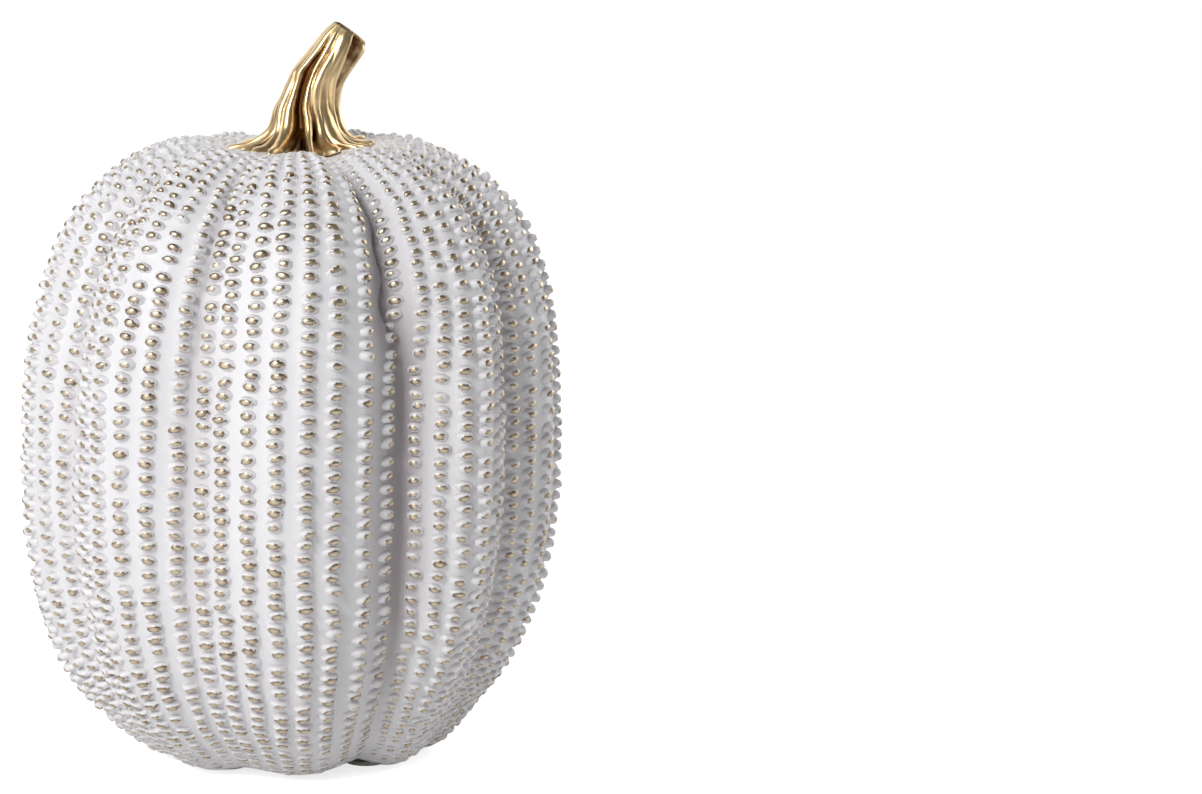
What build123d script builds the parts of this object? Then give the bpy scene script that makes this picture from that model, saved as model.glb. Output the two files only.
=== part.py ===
from build123d import *
import math
import os

# A hollow ceramic pumpkin that stands on felt pads, with a gold-finished stem glued into its crown.
# Millimetres. +Z is up, the front of the pumpkin faces -Y, and the origin is at the centre of the
# surface that the pads stand on.

os.makedirs("parts", exist_ok=True)

# ---- Driving dimensions ----

# Body: a rounded form of revolution that is pressed in along the grooves between its lobes.
BELLY_RADIUS = 71.5            # from the axis to the crest of a lobe, at the widest height
BELLY_HEIGHT = 82.0            # height of the widest section
SHOULDER_HEIGHT = 166.0        # height of the shoulders round the crown
FOOT_RADIUS = 36.0             # edge of the foot, at the crest of a lobe
LOWER_ROUNDNESS = 2.35         # exponent of the curve under the belly; 2 is an ellipse, more is squarer
UPPER_ROUNDNESS = 3.1          # exponent of the curve over the belly
LOBE_WIDTHS = [46, 36, 41, 32, 30, 34, 33, 34, 40, 34]   # degrees, from the front lobe towards +X
FIRST_GROOVE = -22.8           # degrees from the front to the groove where the front lobe starts
GROOVE_DEPTHS = [5, 8.5, 5.5, 5, 5.5, 5, 6, 5, 5.5, 5]   # how far each groove lies inside the crests
GROOVE_FADE = 0.35             # share of that depth that is left at the foot and at the crown
LOBE_ROUNDNESS = 0.7           # 1 is a sine arch between two grooves, less is flatter
WALL = 5.0                     # thickness of the casting

# Crown: the shallow dimple that the stem is glued into.
DIMPLE_MARGIN = 2.1            # flat floor that shows round the stem's root
DIMPLE_DEPTH = 2.8             # from the shoulders down to the floor
SHOULDER_RUN = 6.0             # from the edge of the floor out to the top of the shoulders

# Foot and vent.
RECESS_RADIUS = 20.0           # hollow in the middle of the foot
RECESS_DEPTH = 2.5
VENT_RADIUS = 7.0              # hole that lets the casting drain and fire
PLUG_FLANGE_WIDTH = 3.0        # how far the stopper's flange reaches past the hole
PLUG_FLANGE_THICKNESS = 1.5
PLUG_LIP = 0.8                 # how far its inner lip reaches past the hole
PLUG_LIP_HEIGHT = 2.0
PLUG_CLEARANCE = 0.05          # between its shank and the hole

# Felt pads, midway between the recess and the edge of the foot.
PAD_COUNT = 4
PAD_RADIUS = 6.0
PAD_THICKNESS = 1.0

# Stem.
STEM_HEIGHT = 36.3             # from the glued face to the tip
STEM_ROOT_RADIUS = 17.5        # flared root
STEM_NECK_RADIUS = 8.6         # thinnest part
STEM_OFFSET = 3.5              # root's centre, towards +X
STEM_LEAN = 12.0               # how far the cut end lies beyond the root's centre
STEM_CUT_ANGLE = 48.0          # tilt of the cut end, towards +X
STEM_CUT_RADIUS = 5.9
STEM_FLUTES = 9
STEM_FLUTE_SHARE = 0.055       # depth of the flutes as a share of the section's radius
SPIGOT_RADIUS = 8.0
SPIGOT_CLEARANCE = 0.4         # between the spigot and its hole
SPIGOT_PROUD = 1.5             # length of spigot past the inside of the crown
GLUE_THICKNESS = 0.7
GLUE_INSET = 2.5               # how far the glue stops short of the root's edge

# ---- Worked out from them ----

DIMPLE_RADIUS = STEM_OFFSET + STEM_ROOT_RADIUS * (1 + STEM_FLUTE_SHARE) + DIMPLE_MARGIN
CREST_RADIUS = DIMPLE_RADIUS + SHOULDER_RUN
FOOT_Z = PAD_THICKNESS
RECESS_Z = FOOT_Z + RECESS_DEPTH
CAVITY_FLOOR_Z = RECESS_Z + WALL
DIMPLE_Z = SHOULDER_HEIGHT - DIMPLE_DEPTH
CAVITY_TOP_Z = DIMPLE_Z - WALL
GLUE_TOP_Z = DIMPLE_Z + GLUE_THICKNESS
PAD_CIRCLE = (RECESS_RADIUS + FOOT_RADIUS - max(GROOVE_DEPTHS) * GROOVE_FADE) / 2

# Heights of the sections, as shares of the way from the belly to the foot or to the shoulders.
LOWER_LEVELS = [1.0, 0.95, 0.87, 0.72, 0.5, 0.25]
UPPER_LEVELS = [0.0, 0.25, 0.48, 0.68, 0.83, 0.93, 1.0]
POINTS_PER_LOBE = 6
POINTS_PER_FLUTE = 4


def closing_height(reach, radius, roundness):
    """Half height of the curve that is BELLY_RADIUS wide at the belly and radius wide at reach."""
    return reach / (1 - (radius / BELLY_RADIUS) ** roundness) ** (1 / roundness)


LOWER_HALF = closing_height(BELLY_HEIGHT - FOOT_Z, FOOT_RADIUS, LOWER_ROUNDNESS)
UPPER_HALF = closing_height(SHOULDER_HEIGHT - BELLY_HEIGHT, CREST_RADIUS, UPPER_ROUNDNESS)


def curve_radius(z, inset):
    """Radius of the body's curve at a height; inset moves the whole curve inwards."""
    if z < BELLY_HEIGHT:
        share = (BELLY_HEIGHT - z) / (LOWER_HALF - inset)
        roundness = LOWER_ROUNDNESS
    else:
        share = (z - BELLY_HEIGHT) / (UPPER_HALF - inset)
        roundness = UPPER_ROUNDNESS
    return (BELLY_RADIUS - inset) * (1 - share ** roundness) ** (1 / roundness)


def groove_share(share):
    """How deep the surface lies, from 0 on a lobe's crest to 1 in the groove beside it."""
    return 1 - math.sin(math.pi * share) ** LOBE_ROUNDNESS


def groove_fade(z):
    """Share of the grooves' depth at a height: they fade towards the foot and the crown."""
    share = (z - FOOT_Z) / (SHOULDER_HEIGHT - FOOT_Z)
    arch = math.sqrt(max(0, math.sin(math.pi * share)))
    return GROOVE_FADE + (1 - GROOVE_FADE) * arch


def section(radius, z, fade):
    """A closed level curve of the body: a circle pressed in at each groove by a share of its depth."""
    points = []
    start = FIRST_GROOVE
    for index, width in enumerate(LOBE_WIDTHS):
        near = GROOVE_DEPTHS[index]
        far = GROOVE_DEPTHS[(index + 1) % len(GROOVE_DEPTHS)]
        for step in range(POINTS_PER_LOBE):
            share = step / POINTS_PER_LOBE
            angle = math.radians(start + width * share - 90)
            depth = fade * (near + (far - near) * share)
            reach = radius - depth * groove_share(share)
            points.append((reach * math.cos(angle), reach * math.sin(angle), z))
        start += width
    return Wire([Edge.make_spline(points, periodic=True)])


def level_heights(bottom, top):
    """The heights of the sections from the bottom up, through the belly, to the top."""
    lower = [BELLY_HEIGHT - (BELLY_HEIGHT - bottom) * level for level in LOWER_LEVELS]
    upper = [BELLY_HEIGHT + (top - BELLY_HEIGHT) * level for level in UPPER_LEVELS]
    return lower + upper


def body_outside():
    """The solid form: level sections up to the shoulders, then down into the dimple."""
    sections = []
    for z in level_heights(FOOT_Z, SHOULDER_HEIGHT):
        sections.append(section(curve_radius(z, 0), z, groove_fade(z)))
    slope_radius = (CREST_RADIUS + DIMPLE_RADIUS) / 2
    slope_z = SHOULDER_HEIGHT - DIMPLE_DEPTH / 3
    sections.append(section(slope_radius, slope_z, groove_fade(SHOULDER_HEIGHT) / 2))
    sections.append(section(DIMPLE_RADIUS, DIMPLE_Z, 0))
    return Solid.make_loft(sections)


def body_cavity():
    """The hollow of the casting: the same curve, one wall further in, with flat ends."""
    sections = []
    for z in level_heights(CAVITY_FLOOR_Z, CAVITY_TOP_Z):
        sections.append(section(curve_radius(z, WALL), z, groove_fade(z)))
    return Solid.make_loft(sections)


def cylinder(radius, bottom, top, x=0.0, y=0.0):
    """A round bar on a vertical axis between two heights."""
    bar = Solid.make_cylinder(radius, top - bottom)
    return bar.moved(Location((x, y, bottom)))


def body_shell():
    """The hollow casting, with the stem's hole, the recess under the foot and the vent hole."""
    shell = body_outside() - body_cavity()
    shell -= cylinder(SPIGOT_RADIUS + SPIGOT_CLEARANCE, CAVITY_TOP_Z - WALL, SHOULDER_HEIGHT, STEM_OFFSET)
    shell -= cylinder(RECESS_RADIUS, FOOT_Z - PAD_THICKNESS, RECESS_Z)
    shell -= cylinder(VENT_RADIUS, FOOT_Z, CAVITY_FLOOR_Z + WALL)
    return shell


def stem_section(share, radius, lean, tilt):
    """A fluted closed curve across the stem, turned about Y so that its plane leans with the stem."""
    points = []
    count = STEM_FLUTES * POINTS_PER_FLUTE
    for index in range(count):
        angle = 2 * math.pi * index / count
        reach = radius * (1 + STEM_FLUTE_SHARE * math.cos(STEM_FLUTES * angle))
        points.append((reach * math.cos(angle), reach * math.sin(angle), 0))
    outline = Wire([Edge.make_spline(points, periodic=True)])
    place = Location((STEM_OFFSET + lean, 0, GLUE_TOP_Z + STEM_HEIGHT * share), (0, tilt, 0))
    return outline.moved(place)


def stem():
    """A flared, leaning, fluted stem with a slanted cut end and a spigot under its root."""
    flare = STEM_ROOT_RADIUS - STEM_NECK_RADIUS
    cut_rise = STEM_CUT_RADIUS * (1 + STEM_FLUTE_SHARE) * math.sin(math.radians(STEM_CUT_ANGLE))
    # Each row: share of the height, radius, share of the lean, tilt in degrees.
    profile = [
        (0.00, STEM_ROOT_RADIUS, 0.0, 0),
        (0.10, STEM_NECK_RADIUS + flare * 0.62, 0.05, 2),
        (0.24, STEM_NECK_RADIUS + flare * 0.20, 0.10, 8),
        (0.40, STEM_NECK_RADIUS, 0.16, 16),
        (0.56, STEM_NECK_RADIUS, 0.36, 26),
        (0.71, STEM_NECK_RADIUS * 0.92, 0.66, 36),
        (1 - cut_rise / STEM_HEIGHT, STEM_CUT_RADIUS, 1.0, STEM_CUT_ANGLE),
    ]
    sections = []
    for share, radius, lean, tilt in profile:
        sections.append(stem_section(share, radius, STEM_LEAN * lean, tilt))
    spigot = cylinder(SPIGOT_RADIUS, CAVITY_TOP_Z - SPIGOT_PROUD, GLUE_TOP_Z, STEM_OFFSET)
    return Solid.make_loft(sections) + spigot


def stem_adhesive():
    """A flat ring of cured epoxy round the spigot, between the stem's root and the dimple."""
    bed = cylinder(STEM_ROOT_RADIUS - GLUE_INSET, DIMPLE_Z, GLUE_TOP_Z, STEM_OFFSET)
    return bed - cylinder(SPIGOT_RADIUS + SPIGOT_CLEARANCE, DIMPLE_Z, GLUE_TOP_Z, STEM_OFFSET)


def vent_plug():
    """A soft stopper: a flange against the recess, a shank in the hole and a lip above the floor."""
    flange_z = RECESS_Z - PLUG_FLANGE_THICKNESS
    flange = cylinder(VENT_RADIUS + PLUG_FLANGE_WIDTH, flange_z, RECESS_Z)
    shank = cylinder(VENT_RADIUS - PLUG_CLEARANCE, flange_z, CAVITY_FLOOR_Z)
    lip = Solid.make_cone(VENT_RADIUS + PLUG_LIP, VENT_RADIUS - PLUG_LIP, PLUG_LIP_HEIGHT)
    return flange + shank + lip.moved(Location((0, 0, CAVITY_FLOOR_Z)))


def foot_pad(index):
    """A round felt pad under the foot ring."""
    angle = math.radians(360 / PAD_COUNT * (index + 0.5))
    x = PAD_CIRCLE * math.cos(angle)
    y = PAD_CIRCLE * math.sin(angle)
    return cylinder(PAD_RADIUS, 0, PAD_THICKNESS, x, y)


export_step(body_shell(), "parts/body_shell.step")
export_step(stem(), "parts/stem.step")
export_step(stem_adhesive(), "parts/stem_adhesive.step")
export_step(vent_plug(), "parts/vent_plug.step")
for number in range(PAD_COUNT):
    export_step(foot_pad(number), f"parts/foot_pad_{number + 1}.step")
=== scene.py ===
import math

import bpy
import numpy as np
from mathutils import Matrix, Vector

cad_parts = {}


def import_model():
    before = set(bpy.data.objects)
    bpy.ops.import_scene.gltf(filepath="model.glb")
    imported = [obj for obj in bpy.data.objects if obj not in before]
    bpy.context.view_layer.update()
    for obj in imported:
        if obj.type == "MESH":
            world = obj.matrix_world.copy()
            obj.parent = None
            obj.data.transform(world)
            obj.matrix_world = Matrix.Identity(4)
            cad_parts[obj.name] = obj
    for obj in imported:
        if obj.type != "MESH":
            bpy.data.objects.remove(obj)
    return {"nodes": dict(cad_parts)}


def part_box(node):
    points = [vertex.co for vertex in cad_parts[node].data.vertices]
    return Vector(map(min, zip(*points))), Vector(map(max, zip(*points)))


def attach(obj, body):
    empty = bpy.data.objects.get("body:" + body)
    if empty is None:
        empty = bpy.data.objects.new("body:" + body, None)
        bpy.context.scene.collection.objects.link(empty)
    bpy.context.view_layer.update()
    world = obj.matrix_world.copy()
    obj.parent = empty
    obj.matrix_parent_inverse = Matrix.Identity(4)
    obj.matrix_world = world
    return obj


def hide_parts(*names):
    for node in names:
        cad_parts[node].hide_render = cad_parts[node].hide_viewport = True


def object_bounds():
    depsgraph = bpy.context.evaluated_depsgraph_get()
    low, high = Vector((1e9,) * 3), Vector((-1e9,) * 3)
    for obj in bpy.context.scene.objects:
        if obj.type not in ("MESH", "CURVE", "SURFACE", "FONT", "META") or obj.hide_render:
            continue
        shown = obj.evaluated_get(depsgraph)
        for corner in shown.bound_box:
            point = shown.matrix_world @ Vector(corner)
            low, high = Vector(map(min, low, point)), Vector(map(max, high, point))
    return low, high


# A tall ceramic pumpkin: a white glazed, lobed casting with rows of raised beads whose crests are
# gilded, and a gilded stem glued into its crown. Shapes are worked out in millimetres and become
# metres when their mesh is made. The front faces -Y and angles round the body are counted in degrees
# from the front towards +X.

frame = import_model()
cad_low, cad_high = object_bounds()

MM = 0.001
RNG = np.random.default_rng(31)

body_low, body_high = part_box("body_shell")
glue_low, glue_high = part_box("stem_adhesive")
stem_low, stem_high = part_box("stem")

# ---- Body sizes, in millimetres ----
BELLY_R = (body_high.y - body_low.y) / 2 / MM
FOOT_Z = body_low.z / MM
CREST_SPARE = 0.6             # added to the crest's height, which the grooves take down again
CROWN_Z = body_high.z / MM + CREST_SPARE
BELLY_Z = FOOT_Z + (CROWN_Z - FOOT_Z) / 2
FOOT_R = 0.495 * BELLY_R
FOOT_EDGE = 1.5               # gap in the drawn line at the foot's edge, which smoothing rounds over
CREST_R = 28.0
DIMPLE_DEPTH = 1.4
DIMPLE_STEEPNESS = 1.6        # more than 1 brings the dimple to its full depth before the hole
DIMPLE_LIP = 0.9
HOLE_R = 8.4
HOLE_X = (glue_low.x + glue_high.x) / 2 / MM
WALL = 5.0
RECESS_R = 20.0
RECESS_DEPTH = 2.5
RECESS_ROUND = 0.4
VENT_R = 7.0
LOWER_ROUNDNESS = 2.35        # exponent of the curve under the belly; 2 is an ellipse, more is squarer
UPPER_ROUNDNESS = 3.1
ROW_STEP = 1.15               # height of a mesh row on the outside
COLUMN_STEP = 0.85            # width of a mesh column, in degrees

# ---- Lobes and bead rows ----
LOBE_WIDTHS = np.array([51.0, 31, 41, 32, 30, 34, 33, 34, 40, 34])
FIRST_GROOVE = -22.8
GROOVE_DEPTHS = np.array([7.0, 13.0, 9.0, 7.0, 7.5, 7.0, 8.0, 7.0, 7.5, 7.0])
# Share of its full depth that a groove has, by the share of the way from the foot up to the crest.
GROOVE_FADE = np.array([
    [-0.08, 0.0], [0.0, 0.25], [0.12, 0.4], [0.35, 0.85], [0.6, 1.0],
    [0.8, 0.85], [0.92, 0.6], [1.0, 0.3], [1.1, 0.0],
])
# A lobe's arch is a sine to this power at the foot, which falls by the second number up to the crest.
ARCH_POWER, ARCH_ROUNDING = 1.35, 0.4
CREASE_DEPTH = 1.1            # depth of the fine crease along the bottom of a groove
CREASE_SHARE = 0.1            # what is added to it, as a share of the groove's own depth
CREASE_WIDTH = 0.8            # its half width
# How far it has faded in or out, by the share of the way from the foot up to the crest.
CREASE_FADE = np.array([[0.6, 0], [0.72, 1], [0.9, 1], [1.0, 0]])
CREASE_SWAY = 1.2             # how far it weaves to each side
CREASE_WAVE = 2.9             # arc length in which its weave turns through one radian
CREASE_R = 66.0               # radius at which its width is measured
ROWS_PER_LOBE = [8, 6, 6, 5, 5, 6, 5, 6, 6, 6]
# Rows of the three lobes at the front and right, which are spaced less evenly than the others.
FRONT_ROWS = [
    np.array([-19.6, -14.6, -8.4, -2.7, 3.3, 9.3, 16.6, 23.4]),
    np.array([31.0, 35.2, 39.4, 44.2, 49.6, 55.0]),
    np.array([62.8, 67.4, 73.7, 80.6, 88.0, 95.5]),
]
ROW_JITTER = 0.5              # how far a row lies off its even place, in degrees
ROW_RIDGE = 0.42              # height of the ridge under a row
ROW_RIDGE_WIDTH = 1.9
BEAD_PITCH = 3.6
BEAD_WIDTH = 4.5
BEAD_HEIGHT = 3.0
BEAD_RISE = 1.85
FULL_SPACING = 6.6            # distance between rows below which beads are made smaller

# ---- Where the casting departs from an even form ----
AWAY_LENGTH = 8.0             # arc above the foot over which its unevenness grows
AWAY_LENGTH_HOLE = 10.0       # arc before the stem's hole over which it fades
# The front groove turns aside by some degrees, from a height in arc length above the foot and upwards.
WANDER, WANDER_ANGLE, WANDER_WIDTH = 4.8, 25.0, 9.0
WANDER_START, WANDER_LENGTH = 122.0, 24.0
# The bead row that stands there moves out of its way: degrees, direction, half width.
ASIDE, ASIDE_ANGLE, ASIDE_WIDTH = 2.6, 23.4, 3.0
# A flatter place high on the left side: depth, direction, half width, height and half height.
FLAT, FLAT_ANGLE, FLAT_WIDTH, FLAT_Z, FLAT_TALL = 1.9, -78.0, 32.0, 132.0, 20.0
# The crest is a little lower at the front: depth, half width, and the arc below it where that starts and
# the arc that it takes to reach its depth.
DIP, DIP_WIDTH, DIP_BELOW, DIP_LENGTH = 1.4, 26.0, 24.0, 20.0
# The foot spreads at the front right and left: each size, direction and half width.
SPREADS = [(4.0, 62.0, 34.0), (1.6, -62.0, 34.0)]
SPREAD_UNDER = 10.0           # length of arc under the foot over which that grows
SPREAD_TOP = 2.0              # height up to which it is full
SPREAD_FADE = 13.0            # height over which it then fades
# The rows and lobes sway round the body as they rise: degrees, radians over the whole arc, phase.
SWAY, SWAY_TURN, SWAY_PHASE = 1.1, 7.5, 1.0
# Long low waves of a hand-finished casting: height, turns round the body, turns up it, phase.
HAND_WAVES = [(0.35, 3, 1.3, 0.7), (0.22, 7, -2.1, 2.1), (0.16, 13, 3.7, 4.0)]
# Sideways shift of the casting's middle: each height, then the shift there.
LEAN = np.array([[2, -0.8], [17, -2.4], [27, -2.4], [50, -1.2], [84, 0], [125, 1.0], [150, 1.4]])


# ---- Colour and node helpers ----

def linear(code):
    """Linear RGBA of an sRGB hex colour."""
    values = [int(code[i:i + 2], 16) / 255 for i in (1, 3, 5)]
    return [v / 12.92 if v <= 0.04045 else ((v + 0.055) / 1.055) ** 2.4 for v in values] + [1.0]


def add_node(tree, kind, inputs=None, **settings):
    """Adds a node with its settings; inputs gives each socket a value, a socket or a node that feeds it."""
    made = tree.nodes.new(kind)
    for name, value in settings.items():
        setattr(made, name, value)
    for name, value in (inputs or {}).items():
        socket = made.inputs[name]
        if isinstance(name, str):
            socket = [s for s in made.inputs if s.enabled and s.name == name][0]
        if isinstance(value, bpy.types.Node):
            value = [s for s in value.outputs if s.enabled][0]
        if isinstance(value, bpy.types.NodeSocket):
            tree.links.new(value, socket)
        else:
            socket.default_value = value
    return made


def new_material(name):
    """An empty node material and its tree."""
    material = bpy.data.materials.new(name)
    material.use_nodes = True
    material.node_tree.nodes.clear()
    return material, material.node_tree


def finish_material(tree, shader):
    """Joins a shader to the material's output."""
    add_node(tree, "ShaderNodeOutputMaterial", {"Surface": shader})


# ---- Mesh helpers ----

def grid_quads(rows, columns, closed_rows=False):
    """Corner indices of a grid of quads that wraps round its columns, and round its rows if closed_rows."""
    row = np.arange(rows if closed_rows else rows - 1)[:, None]
    column = np.arange(columns)[None, :]
    above = (row + 1) % rows
    beside = (column + 1) % columns
    return np.stack([
        row * columns + column,
        row * columns + beside,
        above * columns + beside,
        above * columns + column,
    ], -1).reshape(-1, 4)


def sweep_map(rows, columns, closed_rows=False):
    """Places on a flat map of the corners of grid_quads: round the grid along u, from row to row along v."""
    steps = rows if closed_rows else rows - 1
    v, u = np.meshgrid(np.arange(steps) / steps, np.arange(columns) / columns, indexing="ij")
    right, up = 1 / columns, 1 / steps
    corners = np.array([[0, 0], [right, 0], [right, up], [0, up]])
    return (np.stack([u, v], -1)[:, :, None] + corners).reshape(-1, 2)


def make_piece(name, points, faces, material, values, places):
    """A smooth mesh piece from points in millimetres.

    values are named floats, one for each point, and places are the face corners on the piece's flat map."""
    mesh = bpy.data.meshes.new(name)
    mesh.from_pydata((points * MM).tolist(), [], faces)
    mesh.shade_smooth()
    for key, numbers in values.items():
        mesh.attributes.new(key, "FLOAT", "POINT").data.foreach_set("value", numbers.astype(np.float32))
    mesh.uv_layers.new(name="OFBake").uv.foreach_set("vector", places.astype(np.float32).ravel())
    mesh.materials.append(material)
    piece = bpy.data.objects.new(name, mesh)
    bpy.context.scene.collection.objects.link(piece)
    return piece


# ---- Curve helpers ----

def turned_from(angle, middle):
    """Signed angle from a direction, between -180 and 180 degrees."""
    return (angle - middle + 180) % 360 - 180


def bell(distance, width):
    """A smooth hump: 1 in its middle and 1/e at a distance of one width."""
    return np.exp(-(distance / width) ** 2)


def smooth(share):
    """An S curve from 0 to 1 that starts and ends level."""
    return share ** 2 * (3 - 2 * share)


def unit(vectors):
    """The vectors at length 1."""
    return vectors / np.linalg.norm(vectors, axis=-1, keepdims=True)


# ---- Body form ----

def arch_height(radius, roundness):
    """Height of a superellipse over the belly's plane, as a share of its half height."""
    return (1 - (radius / BELLY_R) ** roundness) ** (1 / roundness)


def outline():
    """Radius, height and arc length along the outside, from the recess under the foot to the stem's hole.

    A flat foot, a superellipse from the foot to the belly, another from the belly to the crest of the
    shoulders, and an S curve down into the dimple, which has a slight lip. The line is then sampled
    evenly and averaged over its near neighbours, which rounds its corners."""
    foot_r = np.linspace(RECESS_R, FOOT_R - FOOT_EDGE, 60, endpoint=False)
    foot_z = np.full(len(foot_r), FOOT_Z)
    low_r = np.linspace(FOOT_R, BELLY_R, 400, endpoint=False)
    lower_half = (BELLY_Z - FOOT_Z) / arch_height(FOOT_R, LOWER_ROUNDNESS)
    low_z = BELLY_Z - lower_half * arch_height(low_r, LOWER_ROUNDNESS)
    high_r = np.linspace(BELLY_R, CREST_R, 400)
    upper_half = (CROWN_Z - BELLY_Z) / arch_height(CREST_R, UPPER_ROUNDNESS)
    high_z = BELLY_Z + upper_half * arch_height(high_r, UPPER_ROUNDNESS)
    step = np.linspace(0, 1, 120)[1:]
    dimple_r = CREST_R + (HOLE_R - CREST_R) * step
    fall = np.minimum(1, smooth(step) * DIMPLE_STEEPNESS)
    dimple_z = high_z[-1] - DIMPLE_DEPTH * fall + DIMPLE_LIP * step * (1 - step) ** 3
    r = np.concatenate([foot_r, low_r, high_r, dimple_r])
    z = np.concatenate([foot_z, low_z, high_z, dimple_z])
    s = np.concatenate([[0], np.cumsum(np.hypot(np.diff(r), np.diff(z)))])
    even = np.linspace(0, s[-1], 1500)
    near = 12
    window = np.hanning(2 * near + 1)
    r, z = [np.pad(np.interp(even, s, line), near, mode="reflect", reflect_type="odd") for line in (r, z)]
    r, z = [np.convolve(line, window / window.sum(), "valid") for line in (r, z)]
    return r, z, even


LINE_R, LINE_Z, LINE_S = outline()
LINE_NR = np.gradient(LINE_Z, LINE_S)
LINE_NZ = -np.gradient(LINE_R, LINE_S)
LENGTH = LINE_S[-1]
BELLY = LINE_R.argmax()
FOOT_S = np.interp(FOOT_R, LINE_R[:BELLY], LINE_S[:BELLY])
CREST_S = LINE_S[BELLY:][np.abs(LINE_R[BELLY:] - CREST_R).argmin()]

GROOVES = FIRST_GROOVE + np.concatenate([[0], np.cumsum(LOBE_WIDTHS)])
# Rows are spread evenly over their lobe and then jittered; the front lobes' rows have their own places.
ROW_ANGLES = [
    GROOVES[lobe] + LOBE_WIDTHS[lobe] * (np.arange(count) + 0.5) / count
    for lobe, count in enumerate(ROWS_PER_LOBE)
]
ROW_ANGLES = [angles + RNG.uniform(-ROW_JITTER, ROW_JITTER, len(angles)) for angles in ROW_ANGLES]
ROW_ANGLES[:3] = FRONT_ROWS
ALL_ROWS = np.concatenate(ROW_ANGLES)


def drift(s):
    """Share of the way, 0 below and 1 above, that the front groove has turned aside."""
    return smooth(np.clip((s - FOOT_S - WANDER_START) / WANDER_LENGTH, 0, 1))


def lobe_relief(angle, s):
    """How far the surface lies inside the plain outline because of the grooves beside it.

    Each lobe is an arch, the sine of its width raised to a power, and its two grooves have depths of
    their own. The depth is greatest above the belly, and fades at the foot and under the stem. On the
    upper body the front groove turns aside, and on the shoulders a fine crease weaves along the bottom
    of each groove."""
    wander = WANDER * drift(s) * bell(turned_from(angle, WANDER_ANGLE), WANDER_WIDTH)
    turned = FIRST_GROOVE + (angle + wander - FIRST_GROOVE) % 360
    lobe = np.clip(np.searchsorted(GROOVES, turned, side="right") - 1, 0, len(LOBE_WIDTHS) - 1)
    share = (turned - GROOVES[lobe]) / LOBE_WIDTHS[lobe]
    depth = GROOVE_DEPTHS[lobe] * (1 - share) + GROOVE_DEPTHS[(lobe + 1) % len(LOBE_WIDTHS)] * share
    up = (s - FOOT_S) / (CREST_S - FOOT_S)
    power = ARCH_POWER - ARCH_ROUNDING * np.clip(up, 0, 1)
    arch = np.sin(math.pi * np.clip(share, 0, 1)) ** power
    side = np.where(share < 0.5, share, share - 1) * np.radians(LOBE_WIDTHS[lobe]) * CREASE_R
    crease = bell(side - CREASE_SWAY * np.sin(s / CREASE_WAVE), CREASE_WIDTH)
    crease *= np.interp(up, *CREASE_FADE.T) * (CREASE_DEPTH + CREASE_SHARE * depth)
    return depth * np.interp(up, *GROOVE_FADE.T) * (1 - arch) + crease


def row_relief(angle, s, radius):
    """The low ridge that each row of beads stands on: a bell across the row that fades at both ends."""
    gap = np.abs(turned_from(angle[..., None], ALL_ROWS)).min(-1)
    fade = np.clip((s - FOOT_S) / 6, 0, 1) * np.clip((CREST_S + 6 - s) / 10, 0, 1)
    return ROW_RIDGE * fade * bell(np.radians(gap) * radius, ROW_RIDGE_WIDTH)


def hand_relief(angle, s):
    """Slow unevenness of a hand-finished casting: a sum of long slanting sine waves over the surface."""
    turn = np.radians(angle)
    up = s / LENGTH * 2 * math.pi
    waves = [
        height * np.sin(across * turn + along * up + phase)
        for height, across, along, phase in HAND_WAVES
    ]
    return sum(waves)


def foot_spread(angle, s, height):
    """How far the foot reaches beyond the outline: bells round the body that fade under it and up its side."""
    spread = sum(size * bell(turned_from(angle, middle), width) for size, middle, width in SPREADS)
    below = np.clip((s - FOOT_S + SPREAD_UNDER) / SPREAD_UNDER, 0, 1)
    above = np.clip(1 - (height - SPREAD_TOP) / SPREAD_FADE, 0, 1)
    return spread * below * above


def skin(angle, s, inset=0.0):
    """Point of the body's surface at an angle in degrees and an arc length s from the recess.

    The outline's point, moved along the outline's normal by the reliefs, turned by the sway, spread at
    the foot and shifted sideways. Towards the hole the reliefs fade and the shift becomes the hole's."""
    radius = np.interp(s, LINE_S, LINE_R)
    height = np.interp(s, LINE_S, LINE_Z)
    out_r = np.interp(s, LINE_S, LINE_NR)
    out_z = np.interp(s, LINE_S, LINE_NZ)
    away = np.clip((s - FOOT_S) / AWAY_LENGTH, 0, 1) * np.clip((LENGTH - s) / AWAY_LENGTH_HOLE, 0, 1)
    flat = FLAT * bell(turned_from(angle, FLAT_ANGLE), FLAT_WIDTH) * bell(height - FLAT_Z, FLAT_TALL)
    raised = row_relief(angle, s, radius) + away * (hand_relief(angle, s) - flat)
    offset = raised - lobe_relief(angle, s) - inset
    turn = np.radians(angle + SWAY * np.sin(s / LENGTH * SWAY_TURN + SWAY_PHASE) * away)
    inner = np.clip((s - CREST_S) / (LENGTH - CREST_S), 0, 1)
    dip = DIP * bell(turned_from(angle, 0), DIP_WIDTH) * np.clip((s - CREST_S + DIP_BELOW) / DIP_LENGTH, 0, 1)
    height = height - dip * (1 - inner)
    reach = radius + out_r * offset + foot_spread(angle, s, height) * (1 - inner)
    lean = np.interp(height, *LEAN.T) * np.clip((s - FOOT_S) / 6 + 1, 0, 1)
    shift = lean * (1 - inner) + HOLE_X * inner
    return np.stack([reach * np.sin(turn) + shift, -reach * np.cos(turn), height + out_z * offset], -1)


def skin_frame(angle, s):
    """Surface point, unit directions round and up the body, and outward normal, from small steps each way."""
    step = 0.4
    radius = np.interp(s, LINE_S, LINE_R)
    wide = np.degrees(step / np.maximum(radius, 5))
    across = unit(skin(angle + wide, s) - skin(angle - wide, s))
    normal = unit(np.cross(across, skin(angle, s + step) - skin(angle, s - step)))
    return skin(angle, s), across, np.cross(normal, across), normal


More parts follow.
